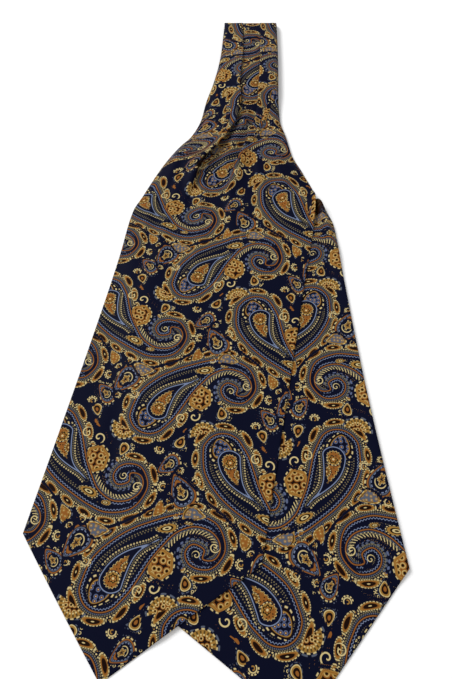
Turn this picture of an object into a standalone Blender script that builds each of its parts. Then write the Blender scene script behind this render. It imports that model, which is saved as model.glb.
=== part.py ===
"""A silk day cravat, folded in half at the middle of its pleated neckband and laid flat.

The origin is on the surface that it lies on, at the middle of its length and width. +X is to the right,
+Y runs from the pointed ends up to the fold, and +Z is up. Sizes are in millimetres until a mesh is made.
"""

from typing import NamedTuple

import bpy
import numpy as np

MM = 0.001

# Cloth
FRONT_WALL = 1.1  # two layers of silk twill, the face and its own lining
UNDER_WALL = 1.5
GAP = 0.3  # air between one layer and the next

# Pleats of the neckband
BEND = 0.5 * (FRONT_WALL + GAP)  # radius of a fold, along the middle of the wall
EDGE_RISE = 4.6  # how far in from its edge a side panel has come up over the folds

# Front blade: its point, its straight part and where it turns over
POINT_LEFT = 71.0  # height of the left corner above the tip, along the blade
POINT_RIGHT = 81.0
POINT_SHARE = 0.473  # place of the tip, as a share of the way across
CHEVRON_END = 200.0  # along the blade, where its rows have become straight
FOLD_Y = 302.3  # where the neckband starts to turn over at the top
FOLD_TURN = 105.0  # degrees that it turns there

# Hidden layers of the neckband
BAND_START = 172.5
BAND_HEIGHT = 4.8
BAND_RAMP = 38.0  # length over which the layers under the band build up
BAND_INSET = 1.6  # how far the hidden layers stay inside the band's edges

# Where the front blade steps down from the under blade to the surface
STEP_WIDTH = 18.0
STEP_MARGIN = 6.5  # how far out from the under blade it is still at its full height

# The under blade's point, and the soft fold on its gathered shoulder
UNDER_POINT_LEFT = 71.0
UNDER_POINT_RIGHT = 77.0
SHOULDER_FOLD = dict(x=89.6, reach=6.0, height=2.2, from_y=7.5, to_y=61.5)


class FrontSection(NamedTuple):
    """A crosswise section of the front length, from its left edge to its right edge."""

    left_x: float
    left_y: float
    right_x: float
    right_y: float
    left_pleat: float  # place of the pleat's edge, as a share of the way across
    right_pleat: float
    left_turn: float  # degrees that the cloth turns under at that pleat: 180 is folded flat
    right_turn: float
    depth: float  # how far the cloth runs back under the pleat


class UnderSection(NamedTuple):
    """A crosswise section of the under length."""

    left_x: float
    left_y: float
    right_x: float
    right_y: float


FRONT = (
    FrontSection(-133.0, -274.8, 14.2, -302.1, 0.26, 0.52, 0, 0, 1.0),
    FrontSection(-77.1, 12.7, 67.9, -14.6, 0.26, 0.52, 0, 0, 1.0),
    FrontSection(-69.7, 61.8, 79.7, 49.7, 0.26, 0.52, 0, 0, 1.0),
    FrontSection(-64.5, 75.9, 81.9, 74.1, 0.245, 0.52, 15, 0, 1.0),
    FrontSection(-48.7, 110.7, 73.5, 103.1, 0.243, 0.53, 60, 25, 1.0),
    FrontSection(-37.2, 132.1, 64.7, 123.5, 0.294, 0.575, 120, 80, 1.5),
    FrontSection(-23.5, 147.9, 59.1, 147.5, 0.322, 0.61, 165, 150, 4.0),
    FrontSection(-15.7, 167.1, 54.1, 168.7, 0.449, 0.693, 180, 180, 9.0),
    FrontSection(-11.1, 190.1, 54.3, 193.5, 0.477, 0.718, 180, 180, 12.0),
    FrontSection(-1.7, 216.3, 55.7, 217.5, 0.40, 0.702, 180, 180, 12.0),
    FrontSection(2.1, 256.3, 57.1, 256.3, 0.383, 0.69, 180, 180, 12.0),
    FrontSection(5.7, FOLD_Y, 57.8, FOLD_Y, 0.354, 0.687, 180, 180, 12.0),
)

UNDER = (
    UnderSection(-31.5, -315.5, 125.9, -302.3),
    UnderSection(-58.9, -9.5, 98.5, 4.9),
    UnderSection(-58.9, 30.5, 95.9, 42.5),
    UnderSection(-53.9, 57.5, 91.7, 63.5),
    UnderSection(-39.9, 95.5, 72.1, 87.5),
    UnderSection(-24.9, 130.5, 58.1, 123.5),
    UnderSection(-12.9, BAND_START - GAP, 52.1, BAND_START - GAP),
)


def clear_scene():
    """Remove the objects that a new file starts with."""
    for item in list(bpy.data.objects):
        bpy.data.objects.remove(item, do_unlink=True)


def smoothstep(value):
    """0 up to 0, 1 from 1 on, and a soft S between them."""
    value = np.clip(value, 0.0, 1.0)
    return value * value * (3.0 - 2.0 * value)


def places(table):
    """Distance along the middle of a length, at each of its sections."""
    ends = np.array([row[:4] for row in table])
    middles = 0.5 * (ends[:, :2] + ends[:, 2:])
    steps = np.hypot(*np.diff(middles, axis=0).T)
    return np.concatenate([[0.0], np.cumsum(steps)])


def read(table, column, along):
    """A column of a table at any distance along, on a curve that never overshoots its rows."""
    at = places(table)
    values = np.array([getattr(row, column) for row in table], float)
    slopes = np.diff(values) / np.diff(at)
    tangent = np.zeros(len(values))
    tangent[0] = slopes[0]
    tangent[-1] = slopes[-1]
    before = slopes[:-1]
    after = slopes[1:]
    same = before * after > 0
    tangent[1:-1][same] = 2 * before[same] * after[same] / (before[same] + after[same])
    step = np.clip(np.searchsorted(at, along, side="right") - 1, 0, len(at) - 2)
    width = at[step + 1] - at[step]
    share = (along - at[step]) / width
    rise = values[step + 1] - values[step]
    bow_in = tangent[step] * width
    bow_out = tangent[step + 1] * width
    ease = share * share * (3.0 - 2.0 * share)
    swing = share * (1.0 - share)
    return values[step] + rise * ease + swing * (bow_in * (1.0 - share) - bow_out * share)


def pleat_path(turn, depth, count):
    """Half of a pleat's section, from its start to its middle: offsets across, and down.

    The cloth bends through turn, in a bend whose length never changes, and then runs straight for half of
    depth. The other half is the same curve turned half round.
    """
    turn = np.maximum(np.radians(turn), 0.02)[:, None]
    radius = np.pi * BEND / turn
    angle = turn * np.linspace(0.0, 1.0, count + 1)[None, :]
    across = radius * np.sin(angle)
    down = radius * (1.0 - np.cos(angle))
    half = 0.5 * depth[:, None]
    across = np.hstack([across, across[:, -1:] + half * np.cos(turn)])
    down = np.hstack([down, down[:, -1:] + half * np.sin(turn)])
    return across, down


def whole_pleat(turn, depth, count):
    """A pleat's section from its start to its end: offsets across, and down."""
    across, down = pleat_path(turn, depth, count)
    far_across = 2 * across[:, -1:] - across[:, -2::-1]
    far_down = 2 * down[:, -1:] - down[:, -2::-1]
    return np.hstack([across, far_across]), np.hstack([down, far_down])


def pleated_rows(along, panel_count, bend_count):
    """Sections across the front length: distance from the left edge, and height above what it lies on.

    A side panel lies over the two folds behind its pleat and comes down to its own edge. The middle panel is
    the lowest.
    """
    ends = [read(FRONT, name, along) for name in ("left_x", "left_y", "right_x", "right_y")]
    width = np.hypot(ends[2] - ends[0], ends[3] - ends[1])
    depth = read(FRONT, "depth", along)
    share = np.linspace(0.0, 1.0, panel_count + 1)[None, :]
    sides = []
    for name in ("left", "right"):
        turn = read(FRONT, name + "_turn", along)
        place = read(FRONT, name + "_pleat", along) * width
        if name == "right":
            place = width - place
        across, down = whole_pleat(turn, depth, bend_count)
        start = (place - np.maximum(across.max(axis=1), 0.0) * (turn > 90))[:, None]
        drop = down[:, -1:]
        panel = start * share
        rise = np.minimum(EDGE_RISE + 0.6 * np.maximum(start - 22.0, 0.0), start)
        height = drop * np.sin(0.5 * np.pi * np.minimum(panel / rise, 1.0))
        sides.append((panel, height, start + across, drop - down))
    (panel, height, pleat, pleat_height), right = sides
    right = [np.fliplr(part) for part in right]
    middle_start = pleat[:, -1:]
    middle_end = width[:, None] - right[2][:, :1]
    middle = middle_start + (middle_end - middle_start) * share
    across = np.hstack([panel[:, :-1], pleat, middle[:, 1:-1],
                        width[:, None] - right[2], width[:, None] - right[0][:, 1:]])
    raised = np.hstack([height[:, :-1], pleat_height, 0 * middle[:, 1:-1], right[3], right[1][:, 1:]])
    return across, raised, width


def under_edge_distance(x, y):
    """How far a place is inside the under blade's left edges; negative outside them."""
    along = np.linspace(0.0, places(UNDER)[-1], 60)
    edge_x = read(UNDER, "left_x", along)
    edge_y = read(UNDER, "left_y", along)
    beside = x - np.interp(y, edge_y, edge_x)
    tip = np.array([0.5 * (UNDER[0].left_x + UNDER[0].right_x), 0.5 * (UNDER[0].left_y + UNDER[0].right_y)])
    axis = under_axis()
    side = np.array([axis[1], -axis[0]])
    half = 0.5 * np.hypot(UNDER[0].right_x - UNDER[0].left_x, UNDER[0].right_y - UNDER[0].left_y)
    corner = tip - half * side + UNDER_POINT_LEFT * axis
    edge = (tip - corner) / np.hypot(*(tip - corner))
    beyond = (x - corner[0]) * -edge[1] + (y - corner[1]) * edge[0]
    return np.minimum(beside, beyond)


def under_axis():
    """The direction that the under blade's straight part runs in."""
    middle = [0.5 * np.array([row.left_x + row.right_x, row.left_y + row.right_y]) for row in UNDER[:2]]
    return (middle[1] - middle[0]) / np.hypot(*(middle[1] - middle[0]))


def layers_height(y):
    """Height of the hidden cloth under the front length, where there is some."""
    return UNDER_WALL + (BAND_HEIGHT - UNDER_WALL) * smoothstep((y - BAND_START) / BAND_RAMP)


def front_rest(x, y):
    """Height that the front length's underside lies at."""
    on_under = smoothstep(1.0 + (under_edge_distance(x, y) + STEP_MARGIN) / STEP_WIDTH)
    return (UNDER_WALL + GAP) * on_under + layers_height(y) - UNDER_WALL


def grid_normals(points):
    """Unit normals of a grid of points, upwards where the grid lies flat."""
    along = np.gradient(points, axis=0)
    across = np.gradient(points, axis=1)
    normal = np.cross(across, along)
    return normal / np.linalg.norm(normal, axis=2, keepdims=True)


def wall_mesh(name, top, bottom):
    """A closed wall between two grids of points that lie one over the other."""
    rows, columns = top.shape[:2]
    points = np.concatenate([top.reshape(-1, 3), bottom.reshape(-1, 3)])
    index = np.arange(rows * columns).reshape(rows, columns)
    below = index + rows * columns
    upper = np.stack([index[:-1, :-1], index[:-1, 1:], index[1:, 1:], index[1:, :-1]], axis=-1)
    lower = np.stack([below[:-1, :-1], below[1:, :-1], below[1:, 1:], below[:-1, 1:]], axis=-1)
    faces = [upper.reshape(-1, 4), lower.reshape(-1, 4)]
    around = np.concatenate([index[0, :], index[1:, -1], index[-1, -2::-1], index[-2:0:-1, 0]])
    ahead = np.roll(around, -1)
    offset = rows * columns
    faces.append(np.stack([around, around + offset, ahead + offset, ahead], axis=-1))
    mesh = bpy.data.meshes.new(name)
    mesh.from_pydata((points * MM).tolist(), [], np.concatenate(faces).tolist())
    mesh.update()
    return mesh


def add_object(mesh, material):
    """Put a mesh into the scene under its own name, smooth but for its rims."""
    mesh.materials.append(material)
    mesh.shade_smooth()
    mesh.set_sharp_from_angle(angle=np.radians(50.0))
    item = bpy.data.objects.new(mesh.name, mesh)
    bpy.context.scene.collection.objects.link(item)
    return item


def cloth_material(name, colour, roughness):
    """A plain finish of one colour."""
    material = bpy.data.materials.new(name)
    material.use_nodes = True
    shader = material.node_tree.nodes["Principled BSDF"]
    shader.inputs["Base Color"].default_value = (*colour, 1.0)
    shader.inputs["Roughness"].default_value = roughness
    shader.inputs["Metallic"].default_value = 0.0
    return material


def chevron(left, right, tip, shares, count):
    """Distances along a blade on rows that open out from its pointed end to a straight row."""
    side = np.where(shares < tip, left * (tip - shares) / tip, right * (shares - tip) / (1 - tip))
    step = np.linspace(0.0, 1.0, count)[:, None]
    return side[None, :] * (1 - step) + CHEVRON_END * step


def turn_over(points, wall_bottom):
    """Bend the end rows of the band over the hidden layers: each row turns about the middle of their end."""
    turns = np.radians(np.linspace(0.0, FOLD_TURN, 8)[1:])
    centre = 0.5 * wall_bottom
    last = points[-1]
    radius = last[:, 2] - centre
    rows = []
    for turn in turns:
        row = last.copy()
        row[:, 1] = last[:, 1] + radius * np.sin(turn)
        row[:, 2] = centre + radius * np.cos(turn)
        rows.append(row)
    return np.concatenate([points, np.array(rows)])


def front_blade(material):
    """The front length: pointed blade, flare, pleated neckband and the turn over its top."""
    panel_count = 5
    bend_count = 4
    end = places(FRONT)[-1]
    flare = places(FRONT)[2]
    band = places(FRONT)[8]
    straight = np.linspace(CHEVRON_END, flare, 8)[1:]
    opening = np.linspace(flare, band, 24)[1:]
    neck = np.linspace(band, end, 8)[1:]
    level = np.concatenate([straight, opening, neck])
    across, raised, width = pleated_rows(level, panel_count, bend_count)
    count = across.shape[1]
    even = np.linspace(0.0, 1.0, count)
    settled = smoothstep((level - places(FRONT)[1]) / (flare - places(FRONT)[1]))[:, None]
    shares = even[None, :] * (1 - settled) + across / width[:, None] * settled
    point = chevron(POINT_LEFT, POINT_RIGHT, POINT_SHARE, even, 10)
    along = np.vstack([point, np.repeat(level[:, None], count, axis=1)])
    shares = np.vstack([np.repeat(even[None, :], len(point), axis=0), shares])
    raised = np.vstack([np.zeros_like(point), raised])
    x = read(FRONT, "left_x", along) * (1 - shares) + read(FRONT, "right_x", along) * shares
    y = read(FRONT, "left_y", along) * (1 - shares) + read(FRONT, "right_y", along) * shares
    z = front_rest(x, y) + raised + 0.5 * FRONT_WALL
    points = turn_over(np.stack([x, y, z], axis=-1), BAND_HEIGHT)
    normals = grid_normals(points)
    top = points + 0.5 * FRONT_WALL * normals
    bottom = points - 0.5 * FRONT_WALL * normals
    bottom[..., 2] = np.maximum(bottom[..., 2], 0.0)
    return add_object(wall_mesh("front_blade", top, bottom), material)


def shoulder_fold(x, y):
    """A soft ridge on the under blade's shoulder, where its gathers come out from under the front."""
    fold = SHOULDER_FOLD
    beside = np.clip(np.abs(x - fold["x"]) / fold["reach"], 0.0, 1.0)
    fade = smoothstep((y - fold["from_y"]) / (fold["to_y"] - fold["from_y"]))
    return fold["height"] * fade * np.cos(0.5 * np.pi * beside) ** 2


def under_blade(material):
    """The under length: pointed blade and gathered shoulder, flat on the surface."""
    columns = 21
    even = np.linspace(0.0, 1.0, columns)
    end = places(UNDER)[-1]
    shoulder = places(UNDER)[1]
    point = chevron(UNDER_POINT_LEFT, UNDER_POINT_RIGHT, 0.5, even, 8)
    level = np.concatenate([np.linspace(CHEVRON_END, shoulder, 5)[1:], np.linspace(shoulder, end, 16)[1:]])
    along = np.vstack([point, np.repeat(level[:, None], columns, axis=1)])
    x = read(UNDER, "left_x", along) * (1 - even) + read(UNDER, "right_x", along) * even
    y = read(UNDER, "left_y", along) * (1 - even) + read(UNDER, "right_y", along) * even
    lift = shoulder_fold(x, y)
    bottom = np.stack([x, y, lift], axis=-1)
    top = np.stack([x, y, lift + UNDER_WALL], axis=-1)
    return add_object(wall_mesh("under_blade", top, bottom), material)


def layered_side(layers, count):
    """One side of the hidden layers: a rounded edge for each layer, as (inset share, height share) pairs."""
    pairs = []
    for layer in range(layers):
        for step in range(count):
            angle = np.pi * step / count
            pairs.append((1.0 - np.sin(angle), (layer + 0.5 - 0.5 * np.cos(angle)) / layers))
    pairs.append((1.0, 1.0))
    return np.array(pairs)


def band_under_layers(material):
    """The hidden half of the neckband: one rounded solid whose sides show its three layers."""
    side = layered_side(3, 4)
    flat = np.linspace(0.0, 1.0, 7)[1:-1]
    level = np.linspace(BAND_START, FOLD_Y, 14)
    turns = np.radians(np.linspace(0.0, 84.0, 6)[1:])
    along = np.linspace(0.0, places(FRONT)[-1], 400)
    left_edge = np.interp(level, read(FRONT, "left_y", along), read(FRONT, "left_x", along)) + BAND_INSET
    right_edge = np.interp(level, read(FRONT, "right_y", along), read(FRONT, "right_x", along)) - BAND_INSET
    bulge = 0.8
    rings = []
    for y, left, right in zip(level, left_edge, right_edge):
        height = layers_height(y)
        rise = side[:, 1] * height
        inner_right = right - bulge * side[:, 0]
        inner_left = left + bulge * side[:, 0]
        top_x = inner_right[-1] + (inner_left[-1] - inner_right[-1]) * flat
        low_x = top_x[::-1]
        x = np.concatenate([inner_right, top_x, inner_left[::-1], low_x])
        z = np.concatenate([rise, np.full(len(flat), height), rise[::-1], np.zeros(len(flat))])
        rings.append(np.stack([x, np.full(len(x), y), z], axis=-1))
    centre = 0.5 * BAND_HEIGHT
    for turn in turns:
        ring = rings[len(level) - 1].copy()
        ring[:, 1] += centre * np.sin(turn)
        ring[:, 2] = centre + (ring[:, 2] - centre) * np.cos(turn)
        rings.append(ring)
    rings = np.array(rings)
    count = rings.shape[1]
    index = np.arange(len(rings) * count).reshape(len(rings), count)
    ahead = np.roll(index, -1, axis=1)
    sides = np.stack([index[:-1], index[1:], ahead[1:], ahead[:-1]], axis=-1).reshape(-1, 4)
    faces = sides.tolist() + [index[0].tolist(), index[-1, ::-1].tolist()]
    mesh = bpy.data.meshes.new("band_under_layers")
    mesh.from_pydata((rings.reshape(-1, 3) * MM).tolist(), [], faces)
    mesh.update()
    return add_object(mesh, material)


def main():
    """Build the cravat."""
    clear_scene()
    front_blade(cloth_material("front silk", (0.16, 0.12, 0.09), 0.45))
    under_blade(cloth_material("under silk", (0.14, 0.11, 0.09), 0.5))
    band_under_layers(cloth_material("band silk", (0.10, 0.09, 0.10), 0.5))


main()
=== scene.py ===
"""Looks of a silk day cravat, folded in half at its pleated neckband and laid flat.

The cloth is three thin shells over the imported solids, worked out from the same crosswise sections. Its
paisley print is drawn by the shader from fields that each point of the cloth carries: how far it is from the
nearest motif's outline, and how far along that outline it is. Sizes are in millimetres until a mesh is made.
"""

import logging
from dataclasses import dataclass, field
from enum import Enum
from typing import Any, Sequence

import bpy
import numpy as np
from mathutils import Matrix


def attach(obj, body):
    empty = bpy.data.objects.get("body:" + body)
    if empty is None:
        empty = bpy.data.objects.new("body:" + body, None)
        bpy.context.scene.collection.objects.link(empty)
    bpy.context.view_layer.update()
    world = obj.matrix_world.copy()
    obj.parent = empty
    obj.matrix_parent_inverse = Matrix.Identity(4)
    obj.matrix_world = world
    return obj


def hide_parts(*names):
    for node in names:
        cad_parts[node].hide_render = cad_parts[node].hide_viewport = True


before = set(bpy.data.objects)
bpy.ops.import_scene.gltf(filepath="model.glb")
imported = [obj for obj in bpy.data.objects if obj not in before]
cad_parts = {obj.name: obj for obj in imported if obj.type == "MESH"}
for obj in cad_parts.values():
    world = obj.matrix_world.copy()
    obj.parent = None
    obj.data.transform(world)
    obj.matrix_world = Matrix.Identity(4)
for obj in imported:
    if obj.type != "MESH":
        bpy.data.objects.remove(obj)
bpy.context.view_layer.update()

Array = np.ndarray
Ink = tuple[float, float, float]
Place = tuple[float, float, float]
MM = 0.001
FULL_TURN = 2.0 * np.pi
# Distances in from a folded edge at which the outermost columns of points lie.
EDGE_COLUMNS = np.array([0.0, 0.18, 0.55, 1.1])
# Rows of points from a blade's pointed end to its straight part, as shares of the way, close at the end.
POINT_ROWS = np.concatenate([[0.0, 0.0012, 0.004], np.linspace(0.0085, 1.0, 148)])
# Distance in from the slanting edge of a blade's point, for each millimetre along the blade.
POINT_SLOPE = 0.72
LOG = logging.getLogger("cravat")


def smoothstep(value: Array) -> Array:
    """0 up to 0, 1 from 1 on, and 3x^2 - 2x^3 between them."""
    value = np.clip(value, 0.0, 1.0)
    return value * value * (3.0 - 2.0 * value)


class Kind(Enum):
    """The small motifs of the print. The value is what the cloth's points carry."""

    DROP = 1
    CLUSTER = 2
    TEARDROP = 3
    BUD = 4
    SCROLL = 5
    SQUIGGLE = 6
    SHIELD = 7
    FAN = 8
    POD = 9
    RINGLET = 10
    LEAF = 11
    FLOWER = 12


@dataclass(frozen=True)
class FrontSection:
    """A crosswise section of the front length, from its left edge to its right edge."""

    left_x: float
    left_y: float
    right_x: float
    right_y: float
    left_pleat: float
    right_pleat: float
    left_turn: float
    right_turn: float
    depth: float
    lift: float


@dataclass(frozen=True)
class UnderSection:
    """A crosswise section of the under length."""

    left_x: float
    left_y: float
    right_x: float
    right_y: float


class Length:
    """A length of cloth given by a few crosswise sections, read anywhere along it."""

    def __init__(self, sections: Sequence[Any]) -> None:
        """Keep the sections and the distance of each along the middle of the cloth.

        Args:
            sections: the crosswise sections, from the blade's end to the band.
        """
        self.sections = sections
        ends = np.array([[s.left_x, s.left_y, s.right_x, s.right_y] for s in sections])
        middles = 0.5 * (ends[:, :2] + ends[:, 2:])
        steps = np.hypot(*np.diff(middles, axis=0).T)
        self.places = np.concatenate([[0.0], np.cumsum(steps)])

    def read(self, column: str, along: Array) -> Array:
        """A column of the sections at any distance along.

        Each stretch is a cubic whose slopes at its ends are the harmonic mean of the stretches beside them,
        so that it never overshoots.

        Args:
            column: the name of a section's field.
            along: distances along the cloth.

        Returns:
            The field's values there.
        """
        at = self.places
        values = np.array([getattr(s, column) for s in self.sections], float)
        slopes = np.diff(values) / np.diff(at)
        tangent = np.zeros(len(values))
        tangent[0], tangent[-1] = slopes[0], slopes[-1]
        before, after = slopes[:-1], slopes[1:]
        same = before * after > 0
        tangent[1:-1][same] = 2 * before[same] * after[same] / (before[same] + after[same])
        step = np.clip(np.searchsorted(at, along, side="right") - 1, 0, len(at) - 2)
        width = at[step + 1] - at[step]
        share = (along - at[step]) / width
        ease = share * share * (3.0 - 2.0 * share)
        swing = share * (1.0 - share) * width
        bow = tangent[step] * (1.0 - share) - tangent[step + 1] * share
        return values[step] + (values[step + 1] - values[step]) * ease + swing * bow

    def place(self, along: Array, share: Array) -> tuple[Array, Array]:
        """Where points of the cloth lie: on the lines from the left edge to the right edge.

        Args:
            along: distances along the cloth.
            share: shares of the way from the left edge to the right edge.

        Returns:
            The points' x and y.
        """
        x, y = (self.read("left_" + axis, along) * (1 - share) + self.read("right_" + axis, along) * share
                for axis in "xy")
        return x, y

    def width(self, along: Array) -> Array:
        """Distance between the two edges."""
        run, rise = (self.read("right_" + axis, along) - self.read("left_" + axis, along) for axis in "xy")
        return np.hypot(run, rise)


@dataclass
class Skin:
    """The middle surface of a piece of cloth as a grid, with each point's place in the cut cloth.

    Its painted shade is how far a point's colour is darkened for the inside of a pleat or a hollow, from 0 to
    1.
    """

    points: Array
    across: Array
    along: Array
    half_wall: Array
    painted_shade: Array


@dataclass(frozen=True)
class Palette:
    """The print's inks, as linear colours."""

    navy: Ink = (0.0024, 0.0032, 0.0125)
    gold: Ink = (0.2650, 0.1400, 0.0290)
    rust: Ink = (0.2100, 0.0760, 0.0150)
    cream: Ink = (0.4900, 0.3900, 0.1800)
    olive: Ink = (0.1400, 0.1150, 0.0620)
    blue: Ink = (0.0800, 0.1000, 0.1750)
    pale: Ink = (0.1450, 0.1800, 0.2750)
    slate: Ink = (0.0720, 0.0840, 0.1150)
    earth: Ink = (0.0700, 0.0400, 0.0100)
    dark: Ink = (0.0090, 0.0030, 0.0020)


@dataclass(frozen=True)
class SilkFinishAndShade:
    """How the twill takes the light, and how dark the shade painted into its colour is."""

    roughness: float = 0.5
    specular: float = 0.02
    sheen: float = 0.045
    sheen_roughness: float = 0.22
    twill_pitch: float = 0.45
    twill_depth: float = 0.05
    # hollow: how dark the painted shade is where it is full, in pleats' insides and the shoulder's pocket
    hollow: float = 0.92


class Value:
    """A number in a shader: a socket with arithmetic. Each operation adds one Math node."""

    def __init__(self, tree: bpy.types.NodeTree, socket: Any) -> None:
        """Wrap a socket of a tree."""
        self.tree = tree
        self.socket = socket

    def apply(self, operation: str, *others: Any, clamp: bool = False) -> "Value":
        """Add a Math node.

        Args:
            operation: the node's operation.
            others: its further inputs, values or numbers.
            clamp: whether the result stays between 0 and 1.

        Returns:
            The node's result.
        """
        node = self.tree.nodes.new("ShaderNodeMath")
        node.operation = operation
        node.use_clamp = clamp
        for socket, value in zip(node.inputs, (self, *others)):
            if isinstance(value, Value):
                self.tree.links.new(value.socket, socket)
            else:
                socket.default_value = float(value)
        return Value(self.tree, node.outputs[0])

    def __add__(self, other: Any) -> "Value":
        """Sum."""
        return self.apply("ADD", other)

    __radd__ = __add__

    def __mul__(self, other: Any) -> "Value":
        """Product."""
        return self.apply("MULTIPLY", other)

    __rmul__ = __mul__

    def __sub__(self, other: Any) -> "Value":
        """Difference."""
        return self.apply("SUBTRACT", other)

    def __rsub__(self, other: float) -> "Value":
        """A number less this value."""
        return self.apply("MULTIPLY_ADD", -1.0, other)

    def __truediv__(self, other: Any) -> "Value":
        """Quotient."""
        return self.apply("DIVIDE", other)

    def __abs__(self) -> "Value":
        """Size without sign."""
        return self.apply("ABSOLUTE")

    def wave(self, period: float) -> "Value":
        """sin(2 pi x / period)."""
        return (self * (FULL_TURN / period)).apply("SINE")

    def cycle(self, period: float) -> "Value":
        """This value counted from the middle of its period: from -period/2 to period/2."""
        return self.apply("WRAP", 0.5 * period, -0.5 * period)

    def near(self, centre: float, half: float, soft: float = 0.16) -> "Value":
        """1 within half of centre, and 0 outside, over a soft edge."""
        size = abs(self - centre) if centre else abs(self)
        return size.apply("MULTIPLY_ADD", -1.0 / soft, half / soft + 0.5, clamp=True)

    def below(self, limit: float, soft: float = 0.16) -> "Value":
        """1 under limit and 0 over it, over a soft edge."""
        return self.apply("MULTIPLY_ADD", -1.0 / soft, limit / soft + 0.5, clamp=True)

    def over(self, limit: float, soft: float = 0.16) -> "Value":
        """1 over limit and 0 under it, over a soft edge."""
        return self.apply("MULTIPLY_ADD", 1.0 / soft, 0.5 - limit / soft, clamp=True)

    def reach(self, other: "Value") -> "Value":
        """sqrt(x^2 + y^2)."""
        return (self * self).apply("ADD", other * other).apply("SQRT")


class Painter:
    """A material's nodes, and the colour that is built up on it layer by layer."""

    UNDER, OVER, MIXED = 6, 7, 2

    def __init__(self, name: str, ground: Ink) -> None:
        """Start a material.

        Args:
            name: its name.
            ground: the colour that everything else is laid on.
        """
        self.material = bpy.data.materials.new(name)
        self.material.use_nodes = True
        self.tree = self.material.node_tree
        self.shader = self.tree.nodes["Principled BSDF"]
        self.colour: Any = (*ground, 1.0)

    def connect(self, node: bpy.types.Node, sockets: dict[Any, Any]) -> None:
        """Set or link a node's inputs.

        Args:
            node: the node.
            sockets: values or links of its inputs, by name or number.
        """
        for name, value in sockets.items():
            value = value.socket if isinstance(value, Value) else value
            if isinstance(value, bpy.types.NodeSocket):
                self.tree.links.new(value, node.inputs[name])
            else:
                node.inputs[name].default_value = value

    def node(self, kind: str, settings: dict[str, Any], sockets: dict[Any, Any]) -> bpy.types.Node:
        """Add any node.

        Args:
            kind: the node's type.
            settings: attributes that are set first.
            sockets: values or links of its inputs, by name or number.

        Returns:
            The node.
        """
        node = self.tree.nodes.new(kind)
        for name, value in settings.items():
            setattr(node, name, value)
        self.connect(node, sockets)
        return node

    def attribute(self, name: str) -> tuple[Value, Value, Value]:
        """Read a vector attribute of the cloth.

        Args:
            name: the attribute's name.

        Returns:
            Its three parts.
        """
        read = self.node("ShaderNodeAttribute", {"attribute_name": name}, {})
        parts = self.node("ShaderNodeSeparateXYZ", {}, {0: read.outputs["Vector"]})
        first, second, third = (Value(self.tree, parts.outputs[i]) for i in range(3))
        return first, second, third

    def lay(self, mask: Value, colour: Ink) -> None:
        """Print a colour where the mask is 1."""
        sockets = {"Factor": mask, self.OVER: (*colour, 1.0), self.UNDER: self.colour}
        self.colour = self.node("ShaderNodeMix", {"data_type": "RGBA"}, sockets).outputs[self.MIXED]


class Outline:
    """A closed smooth outline in a motif's own plane, and each point's place beside it."""

    def __init__(self, corners: Array, pieces: int = 6) -> None:
        """Round the corners' polygon with a closed Catmull-Rom curve.

        Args:
            corners: points that the curve runs through, counterclockwise or clockwise.
            pieces: straight pieces between two of them.
        """
        before, after, later = np.roll(corners, 1, 0), np.roll(corners, -1, 0), np.roll(corners, -2, 0)
        t = (np.arange(pieces) / pieces)[None, :, None]
        start, end = corners[:, None], after[:, None]
        curve = 0.5 * (2 * start + (end - before[:, None]) * t
                       + (2 * before[:, None] - 5 * start + 4 * end - later[:, None]) * t ** 2
                       + (3 * start - before[:, None] - 3 * end + later[:, None]) * t ** 3)
        self.points = curve.reshape(-1, 2)
        ahead = np.roll(self.points, -1, 0)
        self.lengths = np.hypot(*(ahead - self.points).T)
        self.starts = np.concatenate([[0.0], np.cumsum(self.lengths)])
        self.corner_at = self.starts[:-1:pieces]

    def measure(self, x: Array, y: Array, reach: float) -> tuple[Array, Array]:
        """Signed distance from the outline, positive outside, and the distance along it of the nearest place.

        Args:
            x: places across.
            y: places up.
            reach: how far out from the outline's box the places are worked out.

        Returns:
            The distance, which is reach where a place is farther out, and the place along.
        """
        low, high = self.points.min(0) - reach, self.points.max(0) + reach
        close = (x > low[0]) & (x < high[0]) & (y > low[1]) & (y < high[1])
        px, py = x[close], y[close]
        best = np.full(px.shape, 1e9)
        where = np.zeros(px.shape)
        inside = np.zeros(px.shape, bool)
        ahead = np.roll(self.points, -1, 0)
        for (ax, ay), (bx, by), length, start in zip(self.points, ahead, self.lengths, self.starts):
            run, rise = bx - ax, by - ay
            share = np.clip(((px - ax) * run + (py - ay) * rise) / length ** 2, 0.0, 1.0)
            gap = (px - ax - share * run) ** 2 + (py - ay - share * rise) ** 2
            nearer = gap < best
            best = np.where(nearer, gap, best)
            where = np.where(nearer, start + share * length, where)
            if rise:
                inside ^= ((ay > py) != (by > py)) & (px < ax + run * (py - ay) / rise)
        distance = np.full(x.shape, reach)
        place = np.zeros(x.shape)
        distance[close] = np.minimum(np.where(inside, -1.0, 1.0) * np.sqrt(best), reach)
        place[close] = where
        return distance, place


def polar(rows: Sequence[tuple[float, float]]) -> Array:
    """Points given as (angle in degrees, distance) about a motif's spiral centre."""
    angle, reach = np.radians([row[0] for row in rows]), np.array([row[1] for row in rows])
    return np.stack([reach * np.cos(angle), reach * np.sin(angle)], axis=1)


@dataclass(frozen=True)
class SmallMotif:
    """A small motif beside or in a paisley: its place from the spiral's centre, turn, size and form."""

    kind: Kind
    x: float
    y: float
    turn: float
    size: float
    slim: float = 1.0
    taper: float = 0.0
    bend: float = 0.0


@dataclass(frozen=True)
class Fields:
    """What a point of the cloth carries for the print."""

    border: Array
    drop: Array
    motif: Array
    clear: Array


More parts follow.
